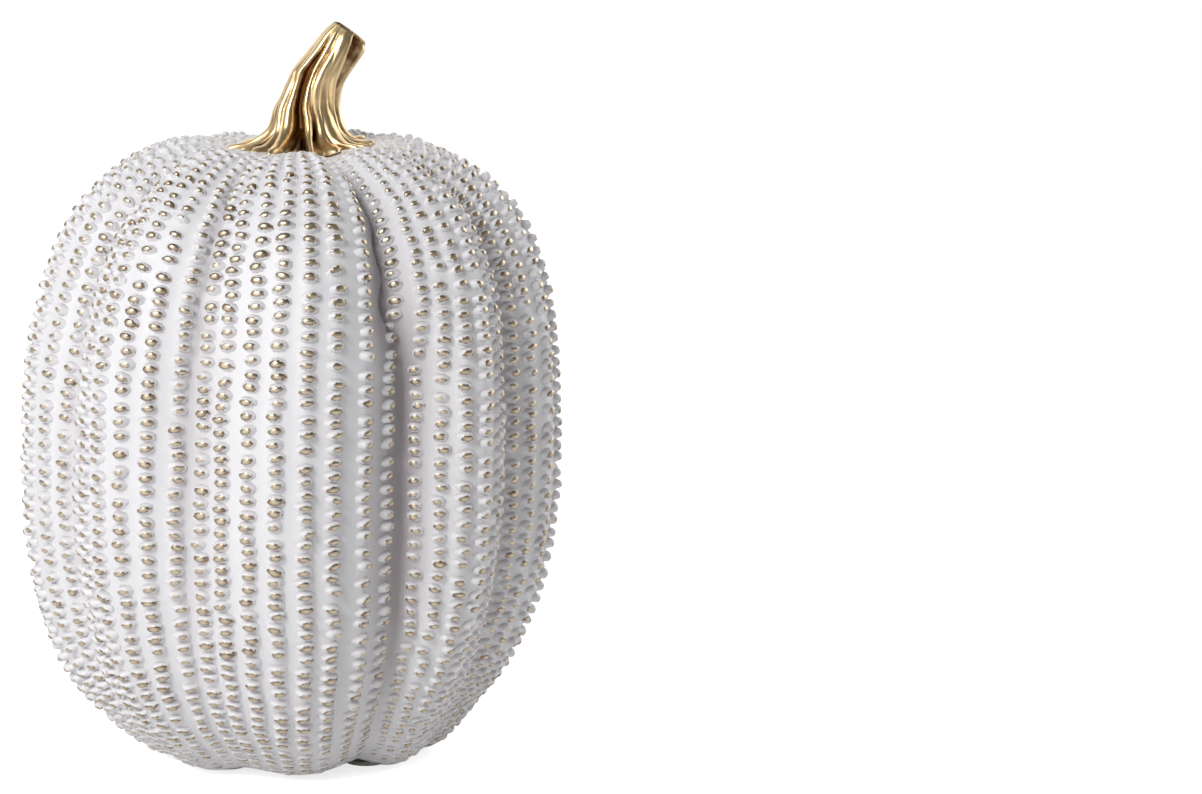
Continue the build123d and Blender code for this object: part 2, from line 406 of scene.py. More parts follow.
def body_piece(material):
    """The hollow casting: the outside row by row, then the stem's hole, the cavity, the vent hole and the
    recess under the foot, closed into one loop and swept round the axis."""
    steps = np.round(LOBE_WIDTHS / COLUMN_STEP).astype(int)
    angles = np.concatenate([
        np.linspace(GROOVES[i], GROOVES[i + 1], steps[i], endpoint=False) for i in range(len(steps))
    ])
    arcs = np.arange(0.0, LENGTH, ROW_STEP)[:, None]
    turn = np.radians(angles)
    ring = np.stack([np.sin(turn), -np.cos(turn)], -1)

    def circle(radius, height, shift=0.0):
        """One level row of points at the casting's own angles."""
        points = radius * ring + [shift, 0]
        return np.concatenate([points, np.full((len(points), 1), height)], 1)[None]

    crown = LINE_Z[-1]
    ceiling = FOOT_Z + RECESS_DEPTH
    rows = [
        skin(angles[None, :], arcs),
        circle(HOLE_R, crown, HOLE_X),
        circle(HOLE_R, crown - WALL, HOLE_X),
        skin(angles[None, :], np.linspace(CREST_S + 4, FOOT_S + 4, 22)[:, None], WALL),
        circle(VENT_R, ceiling + WALL),
        circle(VENT_R, ceiling),
        circle(RECESS_R - RECESS_ROUND, ceiling),
        circle(RECESS_R, ceiling - RECESS_ROUND),
        circle(RECESS_R, FOOT_Z + 0.3),
    ]
    grid = np.concatenate(rows)
    faces = grid_quads(len(grid), len(angles), closed_rows=True).tolist()
    fold = np.zeros(grid.shape[:2])
    fold[:len(arcs)] = lobe_relief(angles[None, :], arcs)
    places = sweep_map(len(grid), len(angles), closed_rows=True)
    return make_piece("body_casting", grid.reshape(-1, 3), faces, material, {"fold": fold.ravel()}, places)


# ---- Beads ----

BEAD_SIDES = 10
# Radius and height of each ring of a bead, as shares of its half width and its rise, from skirt to top.
BEAD_RINGS = np.array([
    [1.14, -0.28],
    [0.99, 0.16],
    [0.85, 0.57],
    [0.61, 0.86],
    [0.30, 0.98],
])
BEAD_RAGGED = 0.03            # unevenness of a bead's rings, as a share of their radius
BEAD_SPIN = 0.12              # how far beads turn in the surface, in radians
# Spaces between the beads of a row as shares of the pitch, and how often each comes.
SPACES = [0.86, 0.96, 1.04, 1.32]
SPACE_CHANCES = [0.3, 0.34, 0.26, 0.1]
MOST_BEADS = 90               # spaces drawn for a row, more than it can hold
SPACE_RANGE = (0.95, 1.05)
ROW_START = (-1, 3)           # arc above the foot where a row starts
ROW_STOP = (4, 11)            # arc past the crest where it ends
ROW_STAGGER = 4               # how much earlier every other row ends
BEAD_JITTER = 0.22            # how far a bead lies off its row, in degrees
WIDTH_RANGE, HEIGHT_RANGE, RISE_RANGE = (0.92, 1.06), (0.88, 1.06), (0.8, 1.12)
LEAST_FIT = 0.55              # smallest share of their width that crowded beads have
# A bead's rise is this share of its usual rise at the end of a row, and grows over the arc that follows.
FOOT_RISE, FOOT_RISE_LENGTH = 0.4, 34
CROWN_RISE, CROWN_RISE_LENGTH, CROWN_RISE_END = 0.35, 12, 6
# Usual gilding of a bead and its unevenness, and what is taken off beside a groove, round the crown, on
# one bead in so many and on the left side.
GILT, GILT_UNEVEN = 0.62, 0.06
GROOVE_LOSS, GROOVE_LOSS_WIDTH = 0.10, 3.2
CROWN_LOSS, CROWN_LOSS_LENGTH = 0.26, 16
CHANCE_LOSS, LOSS_CHANCE = 0.22, 1 / 20
LEFT_LOSS, LEFT_ANGLE, LEFT_WIDTH = 0.15, -80, 25


def bead_faces(count):
    """Faces of many beads: bands of quads from the skirt to the top ring, and a fan of triangles."""
    rings = len(BEAD_RINGS)
    size = rings * BEAD_SIDES + 1
    band = grid_quads(rings, BEAD_SIDES)
    last = (rings - 1) * BEAD_SIDES
    side = np.arange(BEAD_SIDES)
    fan = np.stack([last + side, last + (side + 1) % BEAD_SIDES, np.full(BEAD_SIDES, size - 1)], -1)
    starts = (np.arange(count) * size)[:, None, None]
    return (band + starts).reshape(-1, 4).tolist() + (fan + starts).reshape(-1, 3).tolist()


def bead_places(lobe):
    """Angle and arc length of each bead of a lobe: rows that run up the lobe with an uneven pitch, every
    other one ending lower on the crown."""
    found = []
    for index, angle in enumerate(ROW_ANGLES[lobe]):
        stop = CREST_S + RNG.uniform(*ROW_STOP) - ROW_STAGGER * (index % 2)
        spaces = BEAD_PITCH * RNG.choice(SPACES, MOST_BEADS, p=SPACE_CHANCES)
        spaces *= RNG.uniform(*SPACE_RANGE, MOST_BEADS)
        s = FOOT_S + RNG.uniform(*ROW_START) + np.cumsum(spaces)
        s = s[s < stop]
        aside = ASIDE * drift(s) * bell(angle - ASIDE_ANGLE, ASIDE_WIDTH)
        found.append(np.stack([angle + aside + RNG.normal(0, BEAD_JITTER, len(s)), s], -1))
    return np.concatenate(found)


def bead_sizes(lobe, s, radius):
    """Half width, half height and rise of each bead: less where the rows crowd, by the square root for the
    height and the rise, and a lower rise towards the foot and the crown."""
    spacing = np.radians(LOBE_WIDTHS[lobe] / ROWS_PER_LOBE[lobe]) * radius
    fit = np.clip(spacing / FULL_SPACING, LEAST_FIT, 1.0)
    width = BEAD_WIDTH / 2 * fit * RNG.uniform(*WIDTH_RANGE, len(s))
    height = BEAD_HEIGHT / 2 * np.sqrt(fit) * RNG.uniform(*HEIGHT_RANGE, len(s))
    rise = BEAD_RISE * np.sqrt(fit) * RNG.uniform(*RISE_RANGE, len(s))
    low = np.clip((s - FOOT_S) / FOOT_RISE_LENGTH, FOOT_RISE, 1)
    high = np.clip((CREST_S + CROWN_RISE_END - s) / CROWN_RISE_LENGTH, CROWN_RISE, 1)
    return width, height, rise * (low * high)


def bead_gilt(lobe, angle, s):
    """How much gilding each bead carries: less beside the grooves, round the crown, on one bead in twenty
    and on the left side."""
    edge = np.minimum(np.abs(angle - GROOVES[lobe]), np.abs(angle - GROOVES[lobe + 1]))
    gilt = GILT + GILT_UNEVEN * RNG.normal(size=len(s)) - GROOVE_LOSS * (edge < GROOVE_LOSS_WIDTH)
    gilt -= CROWN_LOSS * (1 - np.clip((CREST_S - 2 - s) / CROWN_LOSS_LENGTH, 0, 1))
    gilt -= CHANCE_LOSS * (RNG.random(len(s)) < LOSS_CHANCE)
    return gilt - LEFT_LOSS * np.clip(1.6 - np.abs(turned_from(angle, LEFT_ANGLE)) / LEFT_WIDTH, 0, 1)


def bead_piece(lobe, material):
    """All beads of one lobe. A bead is a low oval dome: rings of an ellipse that shrink as they rise, with a
    skirt sunk into the casting, turned a little in the surface and stood along its normal."""
    angle, s = bead_places(lobe).T
    count = len(s)
    here, across, along, normal = skin_frame(angle, s)
    width, height, rise = bead_sizes(lobe, s, np.hypot(here[:, 0], here[:, 1]))
    spin = RNG.normal(0, BEAD_SPIN, count)[:, None]
    theta = 2 * math.pi * (np.arange(BEAD_SIDES) + 0.5) / BEAD_SIDES
    ragged = 1 + BEAD_RAGGED * RNG.normal(size=(count, len(BEAD_RINGS), BEAD_SIDES))
    ring_r = BEAD_RINGS[:, 0][None, :, None] * ragged

    def with_top(rings, top):
        """Values of each bead's ring points in one row, with the top point's value after them."""
        return np.concatenate([rings.reshape(count, -1), np.full((count, 1), top)], 1)

    x = with_top(ring_r * np.cos(theta), 0.0) * width[:, None]
    y = with_top(ring_r * np.sin(theta), 0.0) * height[:, None]
    z = with_top(np.broadcast_to(BEAD_RINGS[:, 1][None, :, None], ring_r.shape), 1.0) * rise[:, None]
    turned_x = x * np.cos(spin) - y * np.sin(spin)
    turned_y = x * np.sin(spin) + y * np.cos(spin)
    points = (
        here[:, None]
        + turned_x[..., None] * across[:, None]
        + turned_y[..., None] * along[:, None]
        + z[..., None] * normal[:, None]
    )
    flat_x = np.append((BEAD_RINGS[:, :1] * np.cos(theta)).ravel(), 0.0)
    flat_y = np.append((BEAD_RINGS[:, :1] * np.sin(theta)).ravel(), 0.0)
    # The gilded band lies across the bead, a little below its middle.
    crest = 1 - np.hypot(flat_x - 0.1, 1.4 * (flat_y + 0.13))
    values = {
        "crest": np.tile(crest, count),
        "gilt": np.repeat(bead_gilt(lobe, angle, s), len(crest)),
    }
    faces = bead_faces(count)
    # Each bead has its own square cell on the flat map.
    cells = math.ceil(math.sqrt(count))
    cell = np.stack(np.divmod(np.arange(count), cells), -1)[:, None]
    flat = (cell + 0.5 + 0.4 * np.stack([flat_x, flat_y], -1)) / cells
    places = flat.reshape(-1, 2)[np.concatenate([np.array(face) for face in faces])]
    return make_piece(f"beads_lobe_{lobe + 1}", points.reshape(-1, 3), faces, material, values, places)


# ---- Stem ----

SEAT_Z = glue_high.z / MM
SPIGOT_Z = stem_low.z / MM
STEM_RISE = stem_high.z / MM - SEAT_Z
SPIGOT_R = 8.0
SPIGOT_CHAMFER = 0.6
UNDERSIDE_R = 14.0
UNDERSIDE_Z = SEAT_Z - 0.3
STEM_ROWS, STEM_COLUMNS = 200, 340

# Left and right edge of the stem at ten stations: x, then height as a share of the stem's rise, and the
# half depth from front to back.
STEM_STATIONS = np.array([
    [-16.6, 0.040, 25.2, 0.070, 18.6],
    [-9.8, 0.105, 18.8, 0.110, 14.0],
    [-5.9, 0.190, 15.6, 0.185, 10.8],
    [-4.1, 0.325, 13.9, 0.315, 9.3],
    [-2.0, 0.430, 14.1, 0.430, 8.8],
    [-0.1, 0.530, 15.3, 0.525, 8.4],
    [2.6, 0.655, 17.5, 0.610, 8.0],
    [6.4, 0.780, 19.6, 0.690, 7.3],
    [9.7, 0.895, 20.9, 0.750, 6.5],
    [12.4, 0.965, 20.9, 0.790, 5.6],
])

# Strands that run up the stem: their direction (-90 is the front, 0 is +X) at the four places along the
# stem that STRAND_PLACES gives, then their height and half width in degrees.
STRAND_PLACES = [0, 0.3, 0.65, 1]
STRANDS = np.array([
    [-158, -162, -174, -178, 0.82, 12],
    [-137, -142, -160, -164, 0.92, 12],
    [-117, -121, -144, -144, 1.02, 12],
    [-86, -84, -112, -126, 1.00, 9],
    [-68, -64, -92, -110, 0.96, 14],
    [-48, -46, -76, -96, 1.00, 17],
    [-28, -34, -60, -82, 1.05, 10],
    # This broad, low strand makes a receding facet on the right, which the gold material paints darker brown
    # as shade.
    [-20, -30, -42, -46, 0.36, 38],
    [-10, -16, -16, -4, 0.66, 13],
    [12, 2, 0, 8, 0.92, 14],
    [34, 26, 16, 12, 0.80, 12],
    [52, 46, 30, 18, 0.95, 12],
    [75, 68, 54, 40, 0.85, 11],
    [98, 90, 78, 66, 1.00, 12],
    [121, 115, 104, 94, 0.85, 11],
    [143, 139, 130, 122, 0.95, 12],
    [165, 163, 158, 150, 0.85, 11],
    [187, 186, 182, 176, 0.90, 11],
])
STRAND_SWAY = 2.5             # how far a strand weaves to each side, in degrees
# How deep the folds are, as a share of the stem's half width, by place along the stem.
FOLD_DEPTHS = np.array([[0, 0.50], [0.1, 0.46], [0.3, 0.40], [0.55, 0.30], [0.75, 0.20], [1, 0.14]])
STRAND_LEVEL = 0.92           # strand height that lies on the stations' edges

# Short roots between the strands that die out a little way up: direction, height and half width in degrees.
ROOTLETS = np.array([
    [-146, 0.80, 5], [-127, 0.70, 5], [-106, 0.74, 4], [-98, 0.86, 3.5], [-77, 0.78, 4], [-58, 0.72, 4],
    [-39, 0.80, 5], [-15, 0.74, 5], [1, 0.80, 5], [22, 0.72, 5], [44, 0.80, 5], [63, 0.70, 5], [86, 0.80, 5],
    [110, 0.72, 5], [132, 0.80, 5], [154, 0.70, 5], [176, 0.80, 5],
])

# A swelling on the stem's left side: size, direction, half width, place along the stem and half length.
KNUCKLE, KNUCKLE_ANGLE, KNUCKLE_WIDTH, KNUCKLE_PLACE, KNUCKLE_TALL = 0.09, -152, 24, 0.63, 0.045

# The roots lie on the crown over the lowest part of the stem, lifted by their height and a little sunk.
SEAT_SHARE = 0.14
ROOT_LIFT = 2.4
ROOT_SINK = 0.35

# The cut end: the lean of its axis in degrees, its slope up towards the front, and its rings from a rounded
# rim to the middle, each with its share of the rim's size and its height along the axis.
CUT_LEAN = 47
CUT_SLOPE = 0.12
CUT_RINGS = np.array([
    [0.97, 0.45], [0.91, 0.8], [0.82, 1.0], [0.7, 0.95], [0.56, 1.05], [0.42, 0.95], [0.28, 1.1], [0.14, 1.1],
])
# These low reliefs make the gold of the cut end a darker brown, painted as shade.
CUT_RELIEF, CUT_MIDDLE_RELIEF = 0.35, 0.3   # stand for the strands' height there, and set its tone


def smooth_table(table, at):
    """Rows of a table at fractional positions, by Catmull-Rom curves through its rows."""
    padded = np.concatenate([[2 * table[0] - table[1]], table, [2 * table[-1] - table[-2]]])
    k = np.clip(at.astype(int), 0, len(table) - 2)
    f = (at - k)[:, None]
    a, b, c, d = padded[k], padded[k + 1], padded[k + 2], padded[k + 3]
    square = 2 * a - 5 * b + 4 * c - d
    cube = 3 * b - a - 3 * c + d
    return 0.5 * (2 * b + (c - a) * f + square * f ** 2 + cube * f ** 3)


def half_circle(across):
    """Height of a half circle of radius 1 at a distance across from its middle, and 0 outside it."""
    return np.sqrt(np.clip(1 - across ** 2, 0, 1))


def stem_relief(theta, t):
    """Height of the strands over the folds between them, about 0 to 1, at directions theta and places t.

    A strand is a half circle across its width, weaves by sine waves and is narrower at its root. A rootlet
    is a half circle too, which gets narrower and lower up the stem. The highest at each place is the one
    that shows, and the folds are then softened by three averages with the neighbours."""
    best = np.zeros((len(t), len(theta)))
    for strand in STRANDS:
        phase = strand[0]
        middle = np.interp(t, STRAND_PLACES, strand[:4]) + STRAND_SWAY * np.sin(9 * t + phase)
        width = strand[5] * (1 + 0.18 * np.sin(11 * t + 2 * phase)) * np.interp(t, [0, 0.22], [0.6, 1])
        height = strand[4] + 0.12 * np.sin(8 * t + 3 * phase)
        across = turned_from(theta[None], middle[:, None]) / width[:, None]
        best = np.maximum(best, height[:, None] * half_circle(across))
    for middle, height, width in ROOTLETS:
        across = turned_from(theta[None], middle) / (width * (1 - 0.5 * t[:, None]))
        length = 0.2 + 0.05 * math.sin(middle)
        fade = np.clip(1 - t[:, None] / length, 0, 1) ** 0.7
        best = np.maximum(best, height * fade * half_circle(across))
    for _ in range(3):
        best = (2 * best + np.roll(best, 1, 1) + np.roll(best, -1, 1)) / 4
    return best


def crown_height(x, y):
    """Height of the body's crown under a point."""
    tail = LINE_S > CREST_S - 20
    order = np.argsort(LINE_R[tail])
    s = np.interp(np.hypot(x, y), LINE_R[tail][order], LINE_S[tail][order])
    return skin(np.degrees(np.arctan2(x, -y)), s)[..., 2]


def stem_side(theta, t, relief):
    """The stem's side, row by row from the roots to the cut end.

    A row is an ellipse between the stations' left and right edge, so it tilts with them, swelled at the
    strands and drawn in at the folds. Near the end it slopes up to the front. The lowest rows pass into
    the crown's own height, with the roots standing over it."""
    rows = smooth_table(STEM_STATIONS, t[:, 0] * (len(STEM_STATIONS) - 1))
    left = np.stack([rows[:, 0], SEAT_Z + rows[:, 1] * STEM_RISE], -1)
    right = np.stack([rows[:, 2], SEAT_Z + rows[:, 3] * STEM_RISE], -1)
    centre, half, depth = (left + right) / 2, (right - left) / 2, rows[:, 4:]
    knuckle = bell(turned_from(theta, KNUCKLE_ANGLE), KNUCKLE_WIDTH) * bell(t - KNUCKLE_PLACE, KNUCKLE_TALL)
    swell = 1 + np.interp(t, *FOLD_DEPTHS.T) * (relief - STRAND_LEVEL) + KNUCKLE * knuckle
    cos, sin = np.cos(np.radians(theta)), np.sin(np.radians(theta))
    x = centre[:, :1] + half[:, :1] * cos * swell
    y = depth * sin * swell
    z = centre[:, 1:] + half[:, 1:] * cos * swell
    z = z - CUT_SLOPE * y * np.clip((t - 0.62) / 0.3, 0, 1)
    seat = np.clip(1 - t / SEAT_SHARE, 0, 1) ** 1.5
    lift = ROOT_LIFT * (1 - np.exp(-t / 0.02)) * (0.25 + 0.75 * relief) - ROOT_SINK
    z = z + seat * (crown_height(x, y) + lift - z)
    return np.stack([x, y, z], -1)


def stem_map(rows):
    """Places of the stem's faces on its flat map: the rows of quads between two narrow bands, which take
    the triangles at the spigot's end and at the cut end."""
    band = 0.02
    wide = 1 / STEM_COLUMNS
    start = np.stack([np.arange(STEM_COLUMNS) / STEM_COLUMNS, np.zeros(STEM_COLUMNS)], -1)[:, None]
    below = start + [[0, 0], [wide, band], [0, band]]
    above = start + [[0, 1 - band], [wide, 1 - band], [0, 1]]
    quads = sweep_map(rows, STEM_COLUMNS) * [1, 1 - 2 * band] + [0, band]
    return np.concatenate([quads, below.reshape(-1, 2), above.reshape(-1, 2)])


def stem_piece(material):
    """The gilded stem, one closed sweep of level and tilted rows: up the spigot, out under the roots, up the
    side and in over the cut end, with a fan of triangles at each end."""
    t = np.linspace(0, 1, STEM_ROWS)
    theta = np.linspace(-180, 180, STEM_COLUMNS, endpoint=False)
    relief = stem_relief(theta, t)
    side = stem_side(theta, t[:, None], relief)
    cut = math.radians(CUT_LEAN)
    axis = np.array([math.sin(cut), 0, math.cos(cut)])
    middle = side[-1].mean(0)
    inward, outward = CUT_RINGS.T[:, :, None, None]
    cap = middle + (side[-1][None] - middle) * inward + axis * outward
    turn = np.radians(theta)
    lows = np.stack([
        np.stack([HOLE_X + radius * np.cos(turn), radius * np.sin(turn), np.full(STEM_COLUMNS, height)], -1)
        for radius, height in [
            (SPIGOT_R - SPIGOT_CHAMFER, SPIGOT_Z),
            (SPIGOT_R, SPIGOT_Z + SPIGOT_CHAMFER),
            (SPIGOT_R, UNDERSIDE_Z),
            (UNDERSIDE_R, UNDERSIDE_Z),
        ]
    ])
    grid = np.concatenate([lows, side, cap])
    tips = [[HOLE_X, 0, SPIGOT_Z], middle + axis * CUT_RINGS[-1, 1]]
    points = np.concatenate([grid.reshape(-1, 3), tips])
    bottom, top = len(points) - 2, len(points) - 1
    column = np.arange(STEM_COLUMNS)
    beside = (column + 1) % STEM_COLUMNS
    last = (len(grid) - 1) * STEM_COLUMNS
    faces = grid_quads(len(grid), STEM_COLUMNS).tolist()
    faces += np.stack([np.full(STEM_COLUMNS, bottom), beside, column], -1).tolist()
    faces += np.stack([last + column, last + beside, np.full(STEM_COLUMNS, top)], -1).tolist()
    heights = [np.zeros(lows.shape[:2]), relief, np.broadcast_to(CUT_RELIEF, cap.shape[:2])]
    values = {"relief": np.append(np.concatenate(heights).ravel(), [0.0, CUT_MIDDLE_RELIEF])}
    return make_piece("gilded_stem", points, faces, material, values, stem_map(len(grid)))


# ---- Materials ----

def satin_white_glaze():
    """Satin white glaze on moulded earthenware: a soft sheen, faint cool tints about 14 mm wide where it
    pools, a pinkish grey painted shade down in the deeper grooves, and a fine grain, drawn coarse enough to
    show.

    fold is the depth of the groove in millimetres."""
    material, tree = new_material("satin_white_glaze")
    place = add_node(tree, "ShaderNodeTexCoord").outputs["Object"]
    pool = add_node(tree, "ShaderNodeTexNoise", {"Vector": place, "Scale": 1 / (14 * MM), "Detail": 3.0})
    clean = add_node(tree, "ShaderNodeMix", {
        "Factor": pool, "A": linear("#EDECEF"), "B": linear("#F2F1F2"),
    }, data_type="RGBA")
    fold = add_node(tree, "ShaderNodeAttribute", attribute_name="fold").outputs["Fac"]
    # Painted shade: the glaze greys towards #A89FA2 down in the deeper grooves, where shade falls.
    groove_shade = add_node(tree, "ShaderNodeMapRange", {
        "Value": fold, "From Min": 3.0, "From Max": 11.0, "To Max": 0.75,
    }, interpolation_type="SMOOTHSTEP")
    tone_and_groove_shade = add_node(tree, "ShaderNodeMix", {
        "Factor": groove_shade, "A": clean, "B": linear("#A89FA2"),
    }, data_type="RGBA")
    grain = add_node(tree, "ShaderNodeTexNoise", {"Vector": place, "Scale": 1 / (1.1 * MM), "Detail": 2.0})
    gloss = add_node(tree, "ShaderNodeMapRange", {
        "Value": grain, "To Min": 0.42, "To Max": 0.56,
    })
    bump = add_node(tree, "ShaderNodeBump", {
        "Height": grain, "Strength": 0.25, "Distance": 0.05 * MM,
    })
    shader = add_node(tree, "ShaderNodeBsdfPrincipled", {
        "Base Color": tone_and_groove_shade, "Roughness": gloss,
        "Normal": bump, "IOR": 1.5,
    })
    finish_material(tree, shader)
    return material


def rubbed_gilding():
    """White glazed beads whose crests were gilded and rubbed back to a worn, uneven edge: pale gold in the
    middle of the gilded band, painted shade that browns it towards the band's edge, and grey painted shade
    round each bead's foot.

    crest is 1 in the middle of the gilded band and falls away from it, and gilt is how much a bead has."""
    material, tree = new_material("glaze_with_rubbed_gilding")
    place = add_node(tree, "ShaderNodeTexCoord").outputs["Object"]
    crest = add_node(tree, "ShaderNodeAttribute", attribute_name="crest").outputs["Fac"]
    gilt = add_node(tree, "ShaderNodeAttribute", attribute_name="gilt").outputs["Fac"]
    wear = add_node(tree, "ShaderNodeTexNoise", {"Vector": place, "Scale": 1 / (0.9 * MM), "Detail": 3.0})
    worn = add_node(tree, "ShaderNodeMath", {0: wear, 1: 0.9}, operation="MULTIPLY")
    level = add_node(tree, "ShaderNodeMath", {0: crest, 1: gilt}, operation="ADD")
    level = add_node(tree, "ShaderNodeMath", {0: level, 1: worn}, operation="ADD")
    mask = add_node(tree, "ShaderNodeMapRange", {
        "Value": level, "From Min": 1.16, "From Max": 1.38,
    }, interpolation_type="SMOOTHSTEP")
    tone = add_node(tree, "ShaderNodeTexNoise", {"Vector": place, "Scale": 1 / (3 * MM), "Detail": 2.0})
    pale = add_node(tree, "ShaderNodeMix", {
        "Factor": tone, "A": linear("#E6D3B8"), "B": linear("#EFE5CC"),
    }, data_type="RGBA")
    # Painted shade: the gold darkens to brown away from the middle of the band, down the bead's flanks, in
    # place of their darker reflections.
    rise = add_node(tree, "ShaderNodeMapRange", {"Value": crest, "From Min": 0.15, "From Max": 0.7})
    gold = add_node(tree, "ShaderNodeMix", {
        "Factor": rise, "A": linear("#8C7157"), "B": pale,
    }, data_type="RGBA")
    # Painted shade: grey round each bead's foot, where bead and casting meet.
    ring = add_node(tree, "ShaderNodeMapRange", {"Value": crest, "From Min": -0.5, "From Max": -0.2})
    white = add_node(tree, "ShaderNodeMix", {
        "Factor": ring, "A": linear("#CFCACC"), "B": linear("#F0EFF1"),
    }, data_type="RGBA")
    colour = add_node(tree, "ShaderNodeMix", {
        "Factor": mask, "A": white, "B": gold,
    }, data_type="RGBA")
    rough = add_node(tree, "ShaderNodeMapRange", {"Value": mask, "To Min": 0.42, "To Max": 0.36})
    shader = add_node(tree, "ShaderNodeBsdfPrincipled", {
        "Base Color": colour, "Metallic": mask, "Roughness": rough,
        "IOR": 1.5,
    })
    finish_material(tree, shader)
    return material


def antique_gold():
    """Gold lustre over a moulded stem: pale on the ridges and browner in the folds, partly where wax stays and
    partly painted shade, which also darkens the low facet on the right, with brush streaks drawn out along the
    stem.

    relief is the height of the strands over the folds."""
    material, tree = new_material("antique_gold_lustre")
    place = add_node(tree, "ShaderNodeTexCoord").outputs["Object"]
    relief = add_node(tree, "ShaderNodeAttribute", attribute_name="relief").outputs["Fac"]
    patch = add_node(tree, "ShaderNodeTexNoise", {"Vector": place, "Scale": 1 / (4 * MM), "Detail": 4.0})
    # Painted shade and wax: the lower the strands, the darker and browner the gold. This darkens the folds and
    # the low facet where shade falls.
    bright = add_node(tree, "ShaderNodeMath", {0: relief, 1: patch}, operation="ADD")
    share = add_node(tree, "ShaderNodeMapRange", {"Value": bright, "From Min": 0.75, "From Max": 1.4})
    colour = add_node(tree, "ShaderNodeMix", {
        "Factor": share, "A": linear("#64401E"), "B": linear("#FFE0AC"),
    }, data_type="RGBA")
    streaks = add_node(tree, "ShaderNodeMapping", {"Vector": place, "Scale": (1.0, 1.0, 0.25)})
    fine = add_node(tree, "ShaderNodeTexNoise", {
        "Vector": streaks, "Scale": 1 / (0.8 * MM), "Detail": 3.0,
    })
    matt = add_node(tree, "ShaderNodeMath", {0: fine, 1: share}, operation="SUBTRACT")
    rough = add_node(tree, "ShaderNodeMapRange", {
        "Value": matt, "From Min": -0.6, "From Max": 0.7, "To Min": 0.3, "To Max": 0.52,
    })
    bump = add_node(tree, "ShaderNodeBump", {
        "Height": fine, "Strength": 0.3, "Distance": 0.05 * MM,
    })
    shader = add_node(tree, "ShaderNodeBsdfPrincipled", {
        "Base Color": colour, "Metallic": 1.0, "Roughness": rough,
        "Normal": bump,
    })
    finish_material(tree, shader)
    return material


def pressed_felt():
    """Pressed wool felt: matt, off-white, with a short tangled nap, drawn coarse enough to show."""
    material, tree = new_material("pressed_wool_felt")
    place = add_node(tree, "ShaderNodeTexCoord").outputs["Object"]
    nap = add_node(tree, "ShaderNodeTexNoise", {"Vector": place, "Scale": 1 / (0.5 * MM), "Detail": 5.0})
    colour = add_node(tree, "ShaderNodeMix", {
        "Factor": nap, "A": linear("#C9C4BA"), "B": linear("#E6E2DA"),
    }, data_type="RGBA")
    bump = add_node(tree, "ShaderNodeBump", {
        "Height": nap, "Strength": 0.8, "Distance": 0.2 * MM,
    })
    shader = add_node(tree, "ShaderNodeBsdfPrincipled", {
        "Base Color": colour, "Roughness": 0.95, "Normal": bump,
        "Sheen Weight": 0.3,
    })
    finish_material(tree, shader)
    return material


def silicone_rubber():
    """Moulded off-white silicone: soft and dull, with a faint dusty bloom in patches."""
    material, tree = new_material("moulded_silicone_rubber")
    place = add_node(tree, "ShaderNodeTexCoord").outputs["Object"]
    bloom = add_node(tree, "ShaderNodeTexNoise", {"Vector": place, "Scale": 1 / (2.5 * MM), "Detail": 4.0})
    colour = add_node(tree, "ShaderNodeMix", {
        "Factor": bloom, "A": linear("#C6C8C8"), "B": linear("#DCDEDD"),
    }, data_type="RGBA")
    rough = add_node(tree, "ShaderNodeMapRange", {"Value": bloom, "To Min": 0.5, "To Max": 0.7})
    shader = add_node(tree, "ShaderNodeBsdfPrincipled", {
        "Base Color": colour, "Roughness": rough, "IOR": 1.41,
    })
    finish_material(tree, shader)
    return material


def cured_epoxy():
    """Cured two-part epoxy: amber, glossy, with slight cloudiness."""
    material, tree = new_material("cured_amber_epoxy")
    place = add_node(tree, "ShaderNodeTexCoord").outputs["Object"]
    cloud = add_node(tree, "ShaderNodeTexNoise", {"Vector": place, "Scale": 1 / (3 * MM), "Detail": 2.0})
    colour = add_node(tree, "ShaderNodeMix", {
        "Factor": cloud, "A": linear("#B79C66"), "B": linear("#D2BE93"),
    }, data_type="RGBA")
    shader = add_node(tree, "ShaderNodeBsdfPrincipled", {
        "Base Color": colour, "Roughness": 0.18, "IOR": 1.55,
    })
    finish_material(tree, shader)
    return material


# ---- Stage, light and camera, in metres unless MM is named ----

def plane(name, corners, material):
    """A single flat face that belongs to the stage."""
    mesh = bpy.data.meshes.new(name)
    mesh.from_pydata(corners, [], [(0, 1, 2, 3)])
    mesh.materials.append(material)
    made = bpy.data.objects.new(name, mesh)
    bpy.context.scene.collection.objects.link(made)


def stage():
    """A pale paper floor that glows to the eye alone, to plain white at a distance, and a lit white wall
    behind the figure."""
    paper, tree = new_material("white_paper_floor")
    seen = add_node(tree, "ShaderNodeLightPath").outputs["Is Camera Ray"]
    place = add_node(tree, "ShaderNodeTexCoord").outputs["Object"]
    away = add_node(tree, "ShaderNodeVectorMath", {0: place}, operation="LENGTH").outputs["Value"]
    rise = add_node(tree, "ShaderNodeMapRange", {
        "Value": away, "From Min": 0.25, "From Max": 1.1, "To Min": 0.74, "To Max": 1.0,
    })
    lift = add_node(tree, "ShaderNodeMath", {0: seen, 1: rise}, operation="MULTIPLY")
    matt = add_node(tree, "ShaderNodeBsdfDiffuse", {"Color": linear("#F0F0F0")})
    glow = add_node(tree, "ShaderNodeEmission", {"Color": (1, 1, 1, 1), "Strength": lift})
    finish_material(tree, add_node(tree, "ShaderNodeAddShader", {0: matt, 1: glow}))
    wide, far, tall = 5.0, 1.5, 3.0
    plane("floor", [(-wide, -wide, 0), (wide, -wide, 0), (wide, wide, 0), (-wide, wide, 0)], paper)
    lit, tree = new_material("lit_white_backdrop")
    finish_material(tree, add_node(tree, "ShaderNodeEmission", {"Color": (1, 1, 1, 1), "Strength": 1.0}))
    side = wide / 2
    plane("backdrop", [(-side, far, 0), (side, far, 0), (side, far, tall), (-side, far, tall)], lit)


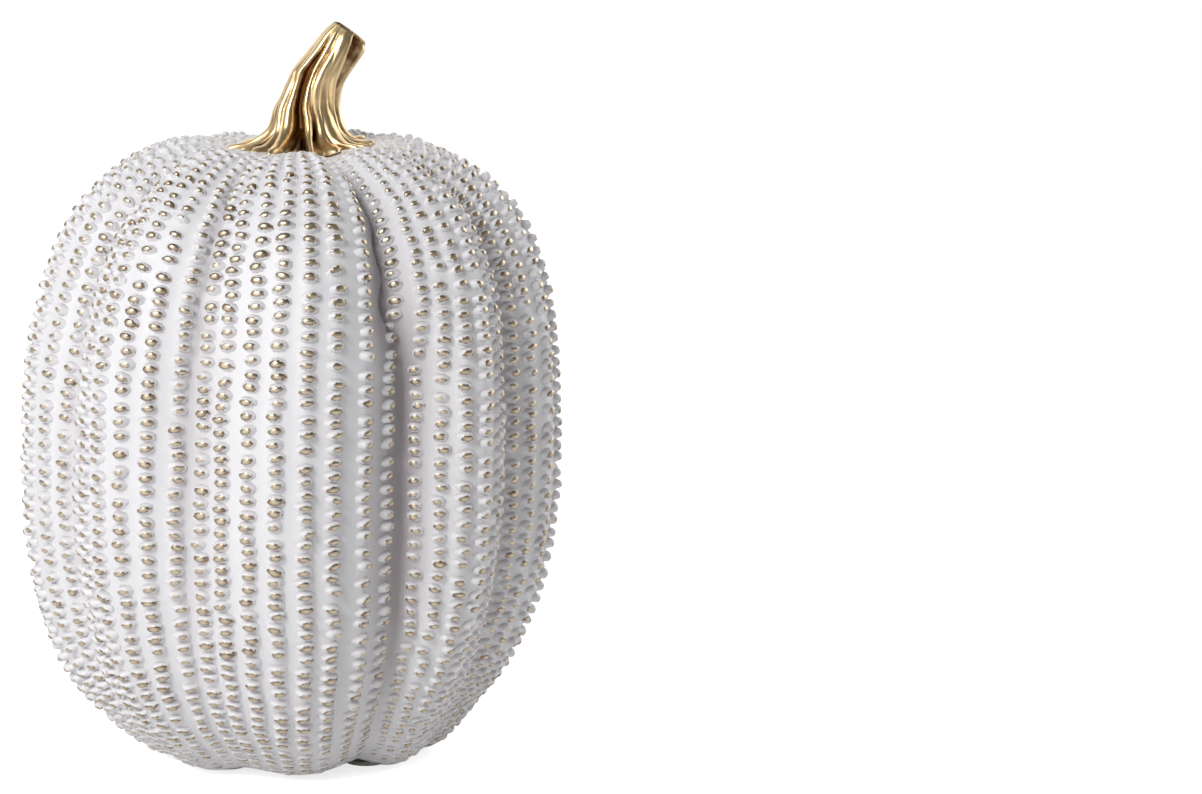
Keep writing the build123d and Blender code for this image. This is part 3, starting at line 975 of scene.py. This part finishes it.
def world(ambient, mirrored):
    """An even grey surround: plain white where it is seen, and of two strengths for light and mirroring."""
    made = bpy.data.worlds.new("studio")
    bpy.context.scene.world = made
    made.use_nodes = True
    tree = made.node_tree
    tree.nodes.clear()
    path = add_node(tree, "ShaderNodeLightPath")
    dim = add_node(tree, "ShaderNodeMapRange", {
        "Value": path.outputs["Is Glossy Ray"], "To Min": ambient, "To Max": mirrored,
    })
    strength = add_node(tree, "ShaderNodeMapRange", {
        "Value": path.outputs["Is Camera Ray"], "To Min": dim, "To Max": 1.0,
    })
    back = add_node(tree, "ShaderNodeBackground", {"Color": (1, 1, 1, 1), "Strength": strength})
    add_node(tree, "ShaderNodeOutputWorld", {"Surface": back})


def softbox(name, azimuth, elevation, distance, size, power):
    """A square lamp that looks at the middle of the figure, azimuth degrees from the front towards +X."""
    lamp = bpy.data.lights.new(name, "AREA")
    lamp.size = size
    lamp.energy = power
    made = bpy.data.objects.new(name, lamp)
    bpy.context.scene.collection.objects.link(made)
    target = (cad_low + cad_high) / 2
    a, e = math.radians(azimuth), math.radians(elevation)
    back = Vector((math.sin(a) * math.cos(e), -math.cos(a) * math.cos(e), math.sin(e)))
    made.location = target + back * distance
    made.rotation_euler = back.to_track_quat("Z", "Y").to_euler()


VIEW_WIDTH = 328.747          # width that the view takes in at the figure, in millimetres
VIEW_ASIDE = 84.5115          # how far from the figure's middle it aims, towards +X
VIEW_Z = 96.0                 # height that it aims at
VIEW_ELEVATION = 9.5          # degrees above level
LENS, SENSOR = 100.0, 36.0


def camera():
    """The view: from the front and a little above, with the figure in the left of the frame."""
    elevation = math.radians(VIEW_ELEVATION)
    distance = VIEW_WIDTH * MM * LENS / SENSOR
    eye = Vector((0, 0, VIEW_Z * MM)) + distance * Vector((0, -math.cos(elevation), math.sin(elevation)))
    aim = Vector((VIEW_ASIDE * MM, 0, VIEW_Z * MM))
    data = bpy.data.cameras.new("camera")
    data.lens = LENS
    data.sensor_width = SENSOR
    made = bpy.data.objects.new("camera", data)
    bpy.context.scene.collection.objects.link(made)
    made.location = eye
    made.rotation_euler = (eye - aim).to_track_quat("Z", "Y").to_euler()
    bpy.context.scene.camera = made


camera()
stage()
world(ambient=0.15, mirrored=0.13)
softbox("key", azimuth=-32, elevation=34, distance=1.1, size=0.34, power=5.2)
softbox("large_softbox", azimuth=-48, elevation=18, distance=1.2, size=1.5, power=6.0)
softbox("side_softbox", azimuth=112, elevation=18, distance=1.2, size=0.9, power=4.4)

glaze = satin_white_glaze()
gilding = rubbed_gilding()
gold = antique_gold()

casting = body_piece(glaze)
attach(casting, "root")
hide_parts("body_shell")
for lobe_index in range(len(LOBE_WIDTHS)):
    beads = bead_piece(lobe_index, gilding)
    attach(beads, "root")
stem = stem_piece(gold)
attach(stem, "root")
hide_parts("stem")

CARRIED = {
    "stem_adhesive": cured_epoxy(),
    "vent_plug": silicone_rubber(),
}
felt = pressed_felt()
for number in range(1, 5):
    CARRIED[f"foot_pad_{number}"] = felt
for node_name, finish in CARRIED.items():
    slots = frame["nodes"][node_name].data.materials
    slots.clear()
    slots.append(finish)

bpy.context.scene.view_settings.view_transform = "Standard"
